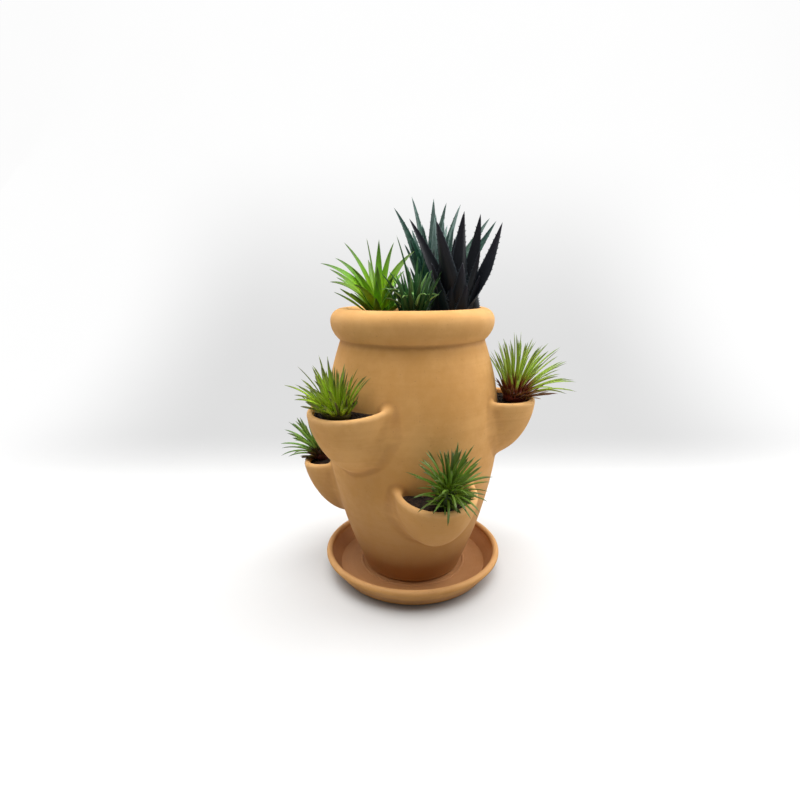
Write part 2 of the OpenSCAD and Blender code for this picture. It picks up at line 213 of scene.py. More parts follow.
# Maps low..high of a value smoothly on to start..end.
def spread(tree, value, low, high, start=0.0, end=1.0):
    node = addNode(
        tree,
        "ShaderNodeMapRange",
        {"Value": value, "From Min": low, "From Max": high, "To Min": start, "To Max": end},
        interpolation_type="SMOOTHSTEP",
    )
    return node.outputs["Result"]


def work(tree, kind, first, second=0.0):
    node = tree.nodes.new("ShaderNodeMath")
    node.operation = kind
    for socket, value in zip(node.inputs, (first, second)):
        feed(tree, socket, value)
    return node.outputs[0]


def times(tree, first, second):
    return work(tree, "MULTIPLY", first, second)


def plus(tree, first, second):
    return work(tree, "ADD", first, second)


def minus(tree, first, second):
    return work(tree, "SUBTRACT", first, second)


def vector(tree, x, y, z=0.0):
    return addNode(tree, "ShaderNodeCombineXYZ", {"X": x, "Y": y, "Z": z}).outputs[0]


def split(tree, where):
    return addNode(tree, "ShaderNodeSeparateXYZ", {"Vector": where}).outputs


def objectPlace(tree):
    where = addNode(tree, "ShaderNodeTexCoord").outputs["Object"]
    return where, split(tree, where)


def fromAxis(tree, apart):
    flat = vector(tree, apart[0], apart[1])
    return addNode(tree, "ShaderNodeVectorMath", {0: flat}, operation="LENGTH").outputs["Value"]


def noise(tree, where, scale, detail=3.0, rough=0.55):
    node = addNode(
        tree,
        "ShaderNodeTexNoise",
        {"Vector": where, "Scale": scale, "Detail": detail, "Roughness": rough},
    )
    return node.outputs[0]


def newGroup(name, inputs):
    group = bpy.data.node_groups.new(name, "ShaderNodeTree")
    for label, kind, value in inputs:
        socket = group.interface.new_socket(label, in_out="INPUT", socket_type=kind)
        socket.default_value = value
    for label, kind in (("Color", colourKind), ("Roughness", valueKind), ("Height", valueKind)):
        group.interface.new_socket(label, in_out="OUTPUT", socket_type=kind)
    start = group.nodes.new("NodeGroupInput")
    end = group.nodes.new("NodeGroupOutput")
    return group, start.outputs, end.inputs


# A Principled material fed by one of the shared groups.
def newMaterial(name, group, settings, specular, bump):
    material = bpy.data.materials.new(name)
    material.use_nodes = True
    tree = material.node_tree
    surface = tree.nodes["Principled BSDF"]
    surface.inputs["Specular IOR Level"].default_value = specular
    effect = tree.nodes.new("ShaderNodeGroup")
    effect.node_tree = group
    for key, value in settings.items():
        effect.inputs[key].default_value = value
    tree.links.new(effect.outputs["Color"], surface.inputs["Base Color"])
    tree.links.new(effect.outputs["Roughness"], surface.inputs["Roughness"])
    strength, distance = bump
    relief = tree.nodes.new("ShaderNodeBump")
    relief.inputs["Strength"].default_value = strength
    relief.inputs["Distance"].default_value = distance * mm
    tree.links.new(effect.outputs["Height"], relief.inputs["Height"])
    tree.links.new(relief.outputs["Normal"], surface.inputs["Normal"])
    return material


clay = {
    # scale, detail and roughness of each noise
    "cloud": (16.0, 5.0, 0.6),
    "patch": (70.0, 4.0, 0.6),
    "bands": (210.0, 3.0, 0.6),
    "grain": (1500.0, 2.0, 0.7),
    "grit": (520.0, 3.0, 0.5),
    "squash": 0.04,  # how far the throwing bands run round the jar
    "footShade": (0.18, 0.03, 0.0, 0.85),  # where the painted shade towards the foot starts and is full, and how much at each height
    # the painted highlight on convex edges and the painted shade in concave joints
    "edgeHighlightColour": (0.82, 0.5, 0.22, 1),
    "creaseShadeColour": (0.3, 0.12, 0.04, 1),
    "speckColour": (0.33, 0.15, 0.06, 1),
}


# Fired clay: cloudy colour, fine throwing bands, sandy grain, a painted highlight on edges and
# painted shade in joints and towards the foot.
def makeClayGroup():
    group, given, result = newGroup(
        "fired_clay",
        [
            ("Pale", colourKind, (0.66, 0.38, 0.17, 1)),
            ("Deep", colourKind, (0.5, 0.25, 0.09, 1)),
            ("Damp And Shade", colourKind, (0.34, 0.16, 0.05, 1)),
            ("Band", valueKind, 1.0),
        ],
    )
    where, apart = objectPlace(group)
    squash = clay["squash"]
    across, along = times(group, apart[0], squash), times(group, apart[1], squash)
    wheel = vector(group, across, along, apart[2])
    cloud = noise(group, where, *clay["cloud"])
    patch = noise(group, where, *clay["patch"])
    bands = noise(group, wheel, *clay["bands"])
    grain = noise(group, where, *clay["grain"])
    grit = noise(group, where, *clay["grit"])
    tone = mixColours(group, spread(group, cloud, 0.35, 0.68), given["Pale"], given["Deep"])
    tone = mixColours(group, spread(group, patch, 0.45, 0.75, 0.0, 0.35), tone, given["Deep"])
    banding = times(group, spread(group, bands, 0.42, 0.72, 0.0, 0.3), given["Band"])
    tone = mixColours(group, banding, tone, given["Deep"])
    # darker towards the foot: painted shade
    footShade = plus(group, apart[2], times(group, cloud, 0.05))
    tone = mixColours(group, spread(group, footShade, *clay["footShade"]), tone, given["Damp And Shade"])
    shade = addNode(group, "ShaderNodeAttribute", attribute_name="painted_light").outputs["Color"]
    paintedLight = addNode(group, "ShaderNodeSeparateColor", {"Color": shade}).outputs
    # paler convex edges are a painted highlight, darker concave joints are painted shade
    tone = mixColours(group, times(group, paintedLight["Red"], 0.4), tone, clay["edgeHighlightColour"])
    tone = mixColours(group, times(group, paintedLight["Green"], 0.35), tone, clay["creaseShadeColour"])
    specks = spread(group, grit, 0.66, 0.74, 0.0, 0.4)
    tone = mixColours(group, specks, tone, clay["speckColour"])
    group.links.new(tone, result["Color"])
    group.links.new(spread(group, patch, 0.3, 0.7, 0.72, 0.9), result["Roughness"])
    height = times(group, times(group, bands, 0.5), given["Band"])
    height = plus(group, height, times(group, grit, 0.22))
    height = plus(group, height, times(group, grain, 0.12))
    group.links.new(height, result["Height"])
    return group


clayGroup = makeClayGroup()
jarClay = newMaterial(
    "jar_clay",
    clayGroup,
    {"Pale": (0.67, 0.36, 0.118, 1), "Deep": (0.545, 0.272, 0.074, 1)},
    0.3,
    (0.35, 0.8),
)
shardClay = newMaterial(
    "shard_clay",
    clayGroup,
    {"Pale": (0.56, 0.3, 0.13, 1), "Deep": (0.4, 0.18, 0.07, 1), "Band": 0.3},
    0.3,
    (0.6, 1.0),
)


saucer = {
    "cloud": (22.0, 5.0, 0.62),
    "wobble": (40.0, 4.0, 0.6),
    "bands": (260.0, 3.0, 0.6),
    "grit": (620.0, 3.0, 0.5),
    "grain": (1500.0, 2.0, 0.7),
    # in metres: where the wall's inside begins, the floor's height and the rim's, where the
    # painted highlight along its top grows
    "inner": (0.0895, 0.0865),
    "floor": (0.0045, 0.0065),
    "rim": (0.0225, 0.0252),
    "darkColour": (0.22, 0.09, 0.03, 1),
    "speckColour": (0.3, 0.13, 0.05, 1),
}


# The saucer's clay, darker and redder inside from watering, with a painted highlight along its
# rim.
def makeSaucerGroup():
    group, given, result = newGroup(
        "watered_saucer",
        [
            ("Dry", colourKind, (0.58, 0.29, 0.085, 1)),
            ("Damp And Shade", colourKind, (0.47, 0.225, 0.085, 1)),
            ("Rim Highlight", colourKind, (0.64, 0.36, 0.15, 1)),
        ],
    )
    where, apart = objectPlace(group)
    radius = fromAxis(group, apart)
    wobble = noise(group, where, *saucer["wobble"])
    edge = plus(group, radius, times(group, wobble, 0.003))
    walled = spread(group, edge, *saucer["inner"])
    inside = times(group, walled, spread(group, apart[2], *saucer["floor"]))
    height = plus(group, apart[2], times(group, wobble, 0.002))
    rimHighlight = spread(group, height, *saucer["rim"])
    rings = vector(group, radius, times(group, apart[0], 0.05), apart[2])
    bands = noise(group, rings, *saucer["bands"])
    cloud = noise(group, where, *saucer["cloud"])
    grit = noise(group, where, *saucer["grit"])
    grain = noise(group, where, *saucer["grain"])
    tone = mixColours(group, inside, given["Dry"], given["Damp And Shade"])
    dark = mixColours(group, 0.35, tone, saucer["darkColour"])
    tone = mixColours(group, spread(group, cloud, 0.4, 0.75, 0.0, 0.7), tone, dark)
    tone = mixColours(group, spread(group, bands, 0.45, 0.75, 0.0, 0.35), tone, dark)
    # a paler band along the top of the rim: painted highlight
    tone = mixColours(group, times(group, rimHighlight, 0.6), tone, given["Rim Highlight"])
    specks = spread(group, grit, 0.66, 0.74, 0.0, 0.4)
    tone = mixColours(group, specks, tone, saucer["speckColour"])
    group.links.new(tone, result["Color"])
    group.links.new(spread(group, cloud, 0.3, 0.75, 0.6, 0.88), result["Roughness"])
    height = plus(group, times(group, bands, 0.6), times(group, grit, 0.25))
    height = plus(group, height, times(group, grain, 0.12))
    group.links.new(height, result["Height"])
    return group


saucerClay = newMaterial("saucer_clay", makeSaucerGroup(), {}, 0.35, (0.4, 0.8))


# A CAD node that stays gets its own material.
def finishNode(node, material):
    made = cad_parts[node]
    made.data.materials.clear()
    made.data.materials.append(material)


finishNode("saucer", saucerClay)
finishNode("drain_shard", shardClay)
print("saucer and shard finished")


joint = {
    "voxel": 1.6,
    # how soft the joint is at a height under the lip
    "under": (-62.0, -52.0, -28.0, -2.0),
    "blend": (4.0, 11.0, 14.0, 6.5),
    "reach": 75.0,
    "settle": 2,
    "soften": 3,
    # how many smoothings the painted highlight and painted shade are read against, and the rise
    # and dip that count as full painted highlight and full painted shade
    "paintedLightPasses": 8,
    "edge": 0.5,
    "creaseShade": 0.12,
}


def jarOutline():
    r = jar["footRound"]
    foot = arcPoints((jarRadius(r) - r, r), r, -90, 0, 8)
    flank = [(jarRadius(h), h) for h in np.linspace(jar["footRound"], jar["neckH"], 40)]
    middle = jar["neckH"] + jar["collarH"] - jar["collarRound"]
    roll = [
        (
            jar["neckR"] + (jar["collarR"] - jar["neckR"]) * math.sin(math.pi / 2 * t**0.8),
            jar["neckH"] + (middle - jar["neckH"]) * t,
        )
        for t in np.linspace(0.06, 1, 14)
    ]
    top = jar["neckH"] + jar["collarH"]
    roundness = jar["collarRound"]
    shoulder = arcPoints((jar["collarR"] - roundness, middle), roundness, 8, 90, 12)
    soft = jar["mouthRound"]
    inner = arcPoints((jar["mouthR"] + soft, top - soft), soft, 90, 180, 8)
    well = [(jar["mouthR"], top - jar["wellDeep"]), (0, top - jar["wellDeep"])]
    drain = [(0, jar["drainDeep"]), (jar["drainR"], jar["drainDeep"]), (jar["drainR"], 0)]
    outline = drain + foot + flank[1:] + roll + shoulder + inner + well
    return [(r, z + jar["footZ"]) for r, z in outline]


def pocketOutline(name):
    lip = pocket["wall"] / 2
    power = 2 / pocket["full"]
    wide = pocket["places"][name][3] * pocket["width"] / 2
    deep = pocket["places"][name][4] * pocket["depth"] - lip

    def bowl(radius, depth):
        return [
            (radius * math.cos(a) ** power, -depth * math.sin(a) ** power - lip)
            for a in np.linspace(0, math.pi / 2, 20)
        ]

    outside = bowl(wide, deep)
    inside = bowl(wide - pocket["wall"], deep - pocket["wall"])
    kept = [p for p in inside if p[1] > -pocket["wellDeep"]]
    well = [(kept[-1][0], -pocket["wellDeep"]), (0, -pocket["wellDeep"])]
    rim = arcPoints((wide - lip, -lip), lip, 180, 0, 10)
    outside[-1] = (0.0, outside[-1][1])
    return [tuple(map(float, p)) for p in outside[::-1] + rim[::-1][1:-1] + kept + well]


# Signed distance in millimetres from points to a turned outline, less than 0 in the clay.
def depthOf(outline, r, z):
    ends = np.array(outline)
    start, along = ends[:-1], np.diff(ends, axis=0)
    size = (along**2).sum(1)
    nearest = np.full(len(r), 1e9)
    inside = np.zeros(len(r), bool)
    for (r0, z0), (dr, dz), square in zip(start, along, size):
        if square == 0:
            continue
        t = np.clip(((r - r0) * dr + (z - z0) * dz) / square, 0, 1)
        nearest = np.minimum(nearest, (r - r0 - t * dr) ** 2 + (z - z0 - t * dz) ** 2)
        if dz:
            crossed = (z0 > z) != (z0 + dz > z)
            inside ^= crossed & (r < r0 + (z - z0) * dr / dz)
    distance = np.sqrt(nearest)
    return np.where(inside, -distance, distance)


jarEdge = jarOutline()
pocketEdges = {name: pocketOutline(name) for name in pocket["places"]}
pocketFrames = {name: np.array(atPocket(name).inverted()) for name in pocket["places"]}


# Signed distance to the whole jar, with its pockets blended into its face.
def clayDepth(points):
    depth = depthOf(jarEdge, np.hypot(points[:, 0], points[:, 1]), points[:, 2])
    for name, inverse in pocketFrames.items():
        local = ((points * mm) @ inverse[:3, :3].T + inverse[:3, 3]) / mm
        near = np.linalg.norm(local + (0, 0, pocket["depth"] / 2), axis=1) < joint["reach"]
        if not near.any():
            continue
        part = local[near]
        bowl = depthOf(pocketEdges[name], np.hypot(part[:, 0], part[:, 1]), part[:, 2])
        body = depth[near]
        soft = np.interp(part[:, 2], joint["under"], joint["blend"])
        meet = np.maximum(soft - np.abs(body - bowl), 0) / soft
        depth[near] = np.minimum(body, bowl) - meet**2 * soft / 4
    return depth


def vertexArrays(mesh):
    points = np.empty(len(mesh.vertices) * 3)
    mesh.vertices.foreach_get("co", points)
    normals = np.empty(len(mesh.vertices) * 3)
    mesh.vertex_normals.foreach_get("vector", normals)
    return points.reshape(-1, 3) / mm, normals.reshape(-1, 3)


def soften(bm, passes):
    for _ in range(passes):
        bmesh.ops.smooth_vert(
            bm, verts=bm.verts, factor=0.5, use_axis_x=True, use_axis_y=True, use_axis_z=True
        )


# Jar and pockets as one fired piece, drawn out to soft joints.
def fusedJar():
    bm = bmesh.new()
    spinOutline(bm, jarEdge, 160)
    for name in pocket["places"]:
        spinOutline(bm, pocketEdges[name], 96, atPocket(name))
    rough = newObject("rough_jar", meshFrom("rough_jar", bm))
    fuse = rough.modifiers.new("fuse", "REMESH")
    fuse.mode = "VOXEL"
    fuse.voxel_size = joint["voxel"] * mm
    ready = rough.evaluated_get(bpy.context.evaluated_depsgraph_get())
    mesh = bpy.data.meshes.new_from_object(ready)
    bpy.data.objects.remove(rough)
    for _ in range(joint["settle"]):
        bm = bmesh.new()
        bm.from_mesh(mesh)
        soften(bm, joint["soften"])
        bm.to_mesh(mesh)
        bm.free()
        for _ in range(2):
            points, normals = vertexArrays(mesh)
            points = points - normals * clayDepth(points)[:, None]
            mesh.vertices.foreach_set("co", (points * mm).ravel())
            mesh.update()
    return mesh


# Stores how far each vertex lies on an edge, in red, for a painted highlight, or in a joint, in
# green, for painted shade.
def markPaintedLight(mesh):
    points, normals = vertexArrays(mesh)
    bm = bmesh.new()
    bm.from_mesh(mesh)
    soften(bm, joint["paintedLightPasses"])
    softened = np.array([vert.co for vert in bm.verts]) / mm
    bm.free()
    rise = ((points - softened) * normals).sum(1)
    edge = np.clip(rise / joint["edge"], 0, 1)
    creaseShade = np.clip(-rise / joint["creaseShade"], 0, 1)
    colours = np.stack([edge, creaseShade, np.zeros(len(edge)), np.ones(len(edge))], 1)
    painted_light = mesh.color_attributes.new("painted_light", "FLOAT_COLOR", "POINT")
    painted_light.data.foreach_set("color", colours.ravel())


jarMesh = fusedJar()
markPaintedLight(jarMesh)
for polygon in jarMesh.polygons:
    polygon.use_smooth = True
placePiece(
    "jar_with_pockets",
    jarMesh,
    "jar",
    [jarClay],
    ["jar_body"] + ["pocket_" + name for name in pocket["places"]],
)
print("jar fused:", len(jarMesh.polygons), "faces")


# Potting mix: near-black peat with brown fibre and a few pale specks.
def makeMixGroup():
    group, given, result = newGroup(
        "potting_mix",
        [
            ("Peat", colourKind, (0.011, 0.0065, 0.005, 1)),
            ("Fibre", colourKind, (0.04, 0.022, 0.012, 1)),
            ("Grit", colourKind, (0.2, 0.16, 0.11, 1)),
        ],
    )
    where = objectPlace(group)[0]
    lump = noise(group, where, 260.0, 4.0, 0.65)
    crumb = noise(group, where, 900.0, 3.0, 0.6)
    speck = noise(group, where, 1300.0, 1.0, 0.4)
    tone = mixColours(group, spread(group, lump, 0.42, 0.68), given["Peat"], given["Fibre"])
    tone = mixColours(group, spread(group, crumb, 0.5, 0.75, 0.0, 0.5), tone, given["Fibre"])
    tone = mixColours(group, spread(group, speck, 0.74, 0.8, 0.0, 0.5), tone, given["Grit"])
    group.links.new(tone, result["Color"])
    group.links.new(spread(group, crumb, 0.3, 0.7, 0.8, 0.98), result["Roughness"])
    height = plus(group, lump, times(group, crumb, 0.5))
    group.links.new(height, result["Height"])
    return group


mixGroup = makeMixGroup()
pottingMix = newMaterial("potting_mix", mixGroup, {}, 0.2, (0.9, 1.2))
crumbMix = newMaterial(
    "potting_crumbs",
    mixGroup,
    {"Peat": (0.014, 0.008, 0.006, 1), "Fibre": (0.06, 0.034, 0.018, 1)},
    0.2,
    (0.6, 0.5),
)
crumb = {
    "small": 0.45,
    "large": 1.25,
    "mouth": 620,
    "pocket": 170,
    "flat": 0.65,
    "proud": 0.2,  # share of its size that a crumb's middle stands above the mix
    "clear": 1.6,
    "tries": 40,
}


# Crumbs of mix strewn level, half sunk in the top of the mix.
def growCrumbs(name, count, rng, place, height, allowed):
    bm = bmesh.new()
    made = tries = 0
    while made < count and tries < count * crumb["tries"]:
        tries += 1
        spot = allowed(rng)
        if spot is None:
            continue
        size = crumb["small"] + (crumb["large"] - crumb["small"]) * rng.random() ** 2
        angle = rng.uniform(0, math.tau)
        turned = Matrix.Rotation(angle, 4, Vector((rng.random(), rng.random(), 1)))
        wide = size * rng.uniform(0.7, 1.2) * mm
        shape = Matrix.Diagonal((size * mm, wide, size * crumb["flat"] * mm, 1))
        at = place @ shift(*spot, height + crumb["proud"] * size) @ shape @ turned
        bmesh.ops.create_icosphere(bm, subdivisions=1, radius=1.0, matrix=at)
        made += 1
    mesh = meshFrom(name, bm, 1e-9)
    placePiece(name, mesh, "jar", [crumbMix])


# The green plastic of the plants' picks, with mould streaks and scuffs.
def makePickGroup():
    group, given, result = newGroup(
        "moulded_pick",
        [
            ("Green", colourKind, (0.05, 0.12, 0.02, 1)),
            ("Scuff", colourKind, (0.11, 0.16, 0.06, 1)),
        ],
    )
    where, apart = objectPlace(group)
    along = vector(group, apart[0], apart[1], times(group, apart[2], 0.15))
    streak = noise(group, along, 700.0, 3.0, 0.6)
    scuff = noise(group, where, 420.0, 4.0, 0.7)
    scuffed = spread(group, scuff, 0.5, 0.72, 0.0, 0.7)
    tone = mixColours(group, scuffed, given["Green"], given["Scuff"])
    group.links.new(tone, result["Color"])
    group.links.new(spread(group, scuff, 0.3, 0.7, 0.35, 0.65), result["Roughness"])
    height = plus(group, streak, times(group, scuff, 0.4))
    group.links.new(height, result["Height"])
    return group


pickPlastic = newMaterial("pick_plastic", makePickGroup(), {}, 0.45, (0.5, 0.4))


leafLayers = {"uv": "leaf", "tint": "tint"}  # tint holds a random share, oddness and outerness


def plantLayers(bm):
    uv = bm.loops.layers.uv[leafLayers["uv"]]
    return uv, bm.verts.layers.float_color[leafLayers["tint"]]


# Share of its full width that a leaf has at share s of its length.
def bladeWidth(s, form):
    # how square its shoulders are, how fast it narrows to the tip and how wide its foot is
    shoulder, taper, foot = form["profile"]
    return max(0.0, 1 - s**shoulder) ** taper * min(1, foot + 1.5 * s)


def bladeThickness(s):
    return math.sqrt(max(0, 1 - s * s))


# A place on a leaf in millimetres: s up it, across it from its middle, lift off its back.
def leafPoint(leaf, s, across, lift):
    lean = math.radians(leaf["lean"])
    bend = math.radians(leaf["bend"]) or 1e-4
    radius = leaf["length"] / bend
    a = lean + bend * s
    out, up = math.cos(lean) - math.cos(a), math.sin(a) - math.sin(lean)
    spine = Vector((radius * out, 0, radius * up))
    outward = Vector((math.cos(a), 0, -math.sin(a)))
    sideways = Vector((0, 1, 0))
    twist = math.radians(leaf.get("twist", 0)) * min(1, 2 * s)
    face = math.cos(twist) * outward + math.sin(twist) * sideways
    side = math.cos(twist) * sideways - math.sin(twist) * outward
    sway = leaf.get("sway", 0) * s * s * leaf["length"]
    return spine + face * lift + side * across + sideways * sway


# Wraps a grid round a leaf: one way round its section and one way up it.
def growLeaf(bm, place, leaf, form, tint):
    uv, shade = plantLayers(bm)
    made = bmesh.ops.create_grid(bm, x_segments=form["around"], y_segments=form["rows"], size=0.5)
    first = 1 / form["rows"]
    marks = {}
    for vert in made["verts"]:
        turn, up = vert.co.x + 0.5, vert.co.y + 0.5
        s = max(0.0, (up - first) / (1 - first))
        c = -math.cos(math.tau * turn)
        upper = turn < 0.5
        full = 0.0 if up < first / 2 else 1.0
        width = full * leaf["width"] * bladeWidth(s, form)
        thick = full * leaf["thick"] * bladeThickness(s)
        if s > 0.999:
            width = thick = 0.0
        hollow = form["channel"] * (1 - c * c) if upper else 1 - abs(c) ** 1.7
        vert.co = place @ (leafPoint(leaf, s, c * width / 2, thick * (hollow - 0.5)) * mm)
        marks[vert] = ((c + 1) / 2, s)
        vert[shade] = (tint, leaf.get("odd", 0), leaf.get("outer", 0), 1)
    for face in {f for v in made["verts"] for f in v.link_faces}:
        for loop in face.loops:
            loop[uv].uv = marks[loop.vert]


# Small pale spines up both edges of an aloe's leaf.
def growTeeth(bm, place, leaf, form, tint):
    uv, shade = plantLayers(bm)
    for side in (-1, 1):
        for i in range(form["teeth"]):
            s = 0.08 + 0.82 * (i + (0.25 if side > 0 else 0.0)) / form["teeth"]
            width = leaf["width"] * bladeWidth(s, form)
            back = -0.5 * leaf["thick"] * bladeThickness(s)
            root = place @ (leafPoint(leaf, s, side * width / 2 * 0.94, back) * mm)
            out = side * (width / 2 + form["toothLength"])
            tip = place @ (leafPoint(leaf, min(1, s + 0.012), out, back) * mm)
            turned = (tip - root).to_track_quat("Z", "Y").to_matrix().to_4x4()
            size = (tip - root).length
            spine = bmesh.ops.create_cone(
                bm,
                cap_ends=True,
                segments=5,
                radius1=form["toothWidth"] * mm,
                radius2=0.06 * mm,
                depth=size,
                matrix=Matrix.Translation((root + tip) / 2) @ turned,
            )
            for vert in spine["verts"]:
                vert[shade] = (tint, leaf.get("odd", 0), leaf.get("outer", 0), 1)
                for loop in vert.link_loops:
                    loop[uv].uv = (0.0, s)


# The short stem in which the leaves meet, cut level just above the mix.
def growCrown(bm, place, crown, tilt, odd):
    uv, shade = plantLayers(bm)
    low = [(0, -0.6), (0.8, -0.6), (0.93, -0.1), (1.0, 0.5)]
    rim = low + [(0.86, 0.78), (0.62, 0.98), (0.4, 1.1), (0, 1.14)]
    verts = spinOutline(bm, rim, 28)
    size = Vector((0.84 * crown[0], 0.84 * crown[1], 0.8 * crown[2]))
    bmesh.ops.scale(bm, vec=size, verts=verts)
    around = list({e for v in verts for e in v.link_edges})
    around += list({f for v in verts for f in v.link_faces})
    level = Matrix.Rotation(math.radians(-tilt), 4, "Y")
    cut = bmesh.ops.bisect_plane(
        bm,
        geom=verts + around,
        plane_co=level @ Vector((0, 0, 0.5 * mm)),
        plane_no=level @ Vector((0, 0, 1)),
        clear_inner=True,
    )
    rims = [e for e in cut["geom_cut"] if isinstance(e, bmesh.types.BMEdge)]
    bmesh.ops.contextual_create(bm, geom=rims)
    drawn = {g for g in cut["geom_cut"] if isinstance(g, bmesh.types.BMVert)}
    kept = list({v for v in verts if v.is_valid} | drawn)
    for vert in kept:
        turn = math.atan2(vert.co.y, vert.co.x) / math.tau + 0.5
        vert[shade] = (0.4, odd, 0, 1)
        for loop in vert.link_loops:
            loop[uv].uv = (turn * 6 % 1, 0.0)
    bmesh.ops.transform(bm, matrix=place, verts=kept)


def newPlantMesh():
    bm = bmesh.new()
    bm.loops.layers.uv.new(leafLayers["uv"])
    bm.verts.layers.float_color.new(leafLayers["tint"])
    return bm


# Where a leaf leaves the crown: the outer ones start lower and further out.
def leafRoot(crown, azimuth, out):
    a = math.radians(azimuth)
    seat = 0.8 * out
    up = crown[2] * (1 - 0.4 * out**2)
    return shift(seat * crown[0] * math.cos(a), seat * crown[1] * math.sin(a), up)


# Moulded plastic leaf: root, middle and tip colours, fine streaks and paler edges.
def makeLeafGroup():
    group, given, result = newGroup(
        "plastic_leaf",
        [
            ("Root", colourKind, (0.3, 0.4, 0.05, 1)),
            ("Middle", colourKind, (0.15, 0.3, 0.04, 1)),
            ("Tip", colourKind, (0.1, 0.17, 0.03, 1)),
            ("Edge", colourKind, (0.2, 0.35, 0.08, 1)),
            ("Odd", colourKind, (0.1, 0.1, 0.03, 1)),
            ("Root End", valueKind, 0.2),
            ("Tip Start", valueKind, 0.7),
            ("Edge Share", valueKind, 0.2),
            ("Cross Bands", valueKind, 0.0),
            ("Variety", valueKind, 0.25),
        ],
    )
    where = addNode(group, "ShaderNodeUVMap", uv_map=leafLayers["uv"]).outputs["UV"]
    apart = split(group, where)
    mark = addNode(group, "ShaderNodeAttribute", attribute_name=leafLayers["tint"])
    tint = addNode(group, "ShaderNodeSeparateColor", {"Color": mark.outputs["Color"]}).outputs
    lowEnd = minus(group, given["Root End"], 0.13)
    highEnd = plus(group, given["Root End"], 0.16)
    grown = spread(group, apart[1], lowEnd, highEnd)
    tone = mixColours(group, grown, given["Root"], given["Middle"])
    tipLow = minus(group, given["Tip Start"], 0.2)
    tipHigh = plus(group, given["Tip Start"], 0.25)
    tone = mixColours(group, spread(group, apart[1], tipLow, tipHigh), tone, given["Tip"])
    tone = mixColours(group, tint["Green"], tone, given["Odd"])
    # the streaks run up the leaf and the mottling across it, and no two leaves share either
    def stretched(*scales):
        parts = (apart[0], apart[1], tint["Red"])
        return vector(group, *(times(group, part, scale) for part, scale in zip(parts, scales)))

    lanes = stretched(9.0, 1.6, 40.0)
    streak = noise(group, lanes, 1.6, 3.0, 0.6)
    mottle = stretched(1.2, 14.0, 70.0)
    bars = spread(group, noise(group, mottle, 1.5, 2.0, 0.5), 0.46, 0.62)
    dark = mixColours(group, 1.0, tone, (0.45, 0.5, 0.45, 1), "MULTIPLY")
    tone = mixColours(group, spread(group, streak, 0.42, 0.7, 0.0, 0.42), tone, dark)
    barred = times(group, bars, given["Cross Bands"])
    tone = mixColours(group, barred, tone, given["Edge"])
    rim = work(group, "ABSOLUTE", minus(group, apart[0], 0.5))
    rimmed = spread(group, rim, 0.4, 0.47)
    edged = times(group, rimmed, given["Edge Share"])
    tone = mixColours(group, edged, tone, given["Edge"])
    low = minus(group, 1.0, given["Variety"])
    high = plus(group, 1.0, given["Variety"])
    shares = {"Value": tint["Red"], "To Min": low, "To Max": high}
    value = addNode(group, "ShaderNodeMapRange", shares).outputs["Result"]
    hue = spread(group, tint["Red"], 0.0, 1.0, 0.49, 0.508)
    shifts = {"Color": tone, "Value": value, "Hue": hue}
    varied = addNode(group, "ShaderNodeHueSaturation", shifts).outputs["Color"]
    group.links.new(varied, result["Color"])
    group.links.new(spread(group, streak, 0.35, 0.7, 0.36, 0.58), result["Roughness"])
    height = plus(group, times(group, streak, 0.8), times(group, bars, 0.15))
    group.links.new(height, result["Height"])
    return group


leafGroup = makeLeafGroup()


def leafMaterial(name, colours):
    settings = {
        "Root": colours["root"] + (1,),
        "Middle": colours["middle"] + (1,),
        "Tip": colours["tip"] + (1,),
        "Edge": colours.get("edge", colours["middle"]) + (1,),
        "Odd": colours["odd"] + (1,),
        "Root End": colours.get("rootEnd", 0.2),
        "Tip Start": colours.get("tipStart", 0.7),
        "Edge Share": colours.get("edgeShare", 0.2),
        "Cross Bands": colours.get("bars", 0.0),
        "Variety": colours.get("variety", 0.25),
    }
    return newMaterial(name, leafGroup, settings, colours.get("shine", 0.3), (0.5, 0.25))


needle = {
    "length": 58.0,
    "thick": 0.6,
    "out": 18,
    "crown": (12, 12, 12),
    "form": {"around": 6, "rows": 9, "channel": 0.35, "profile": (5, 0.6, 0.8)},
    "low": (0.36, 0.58),  # the short ones round the foot, as shares of the length
}
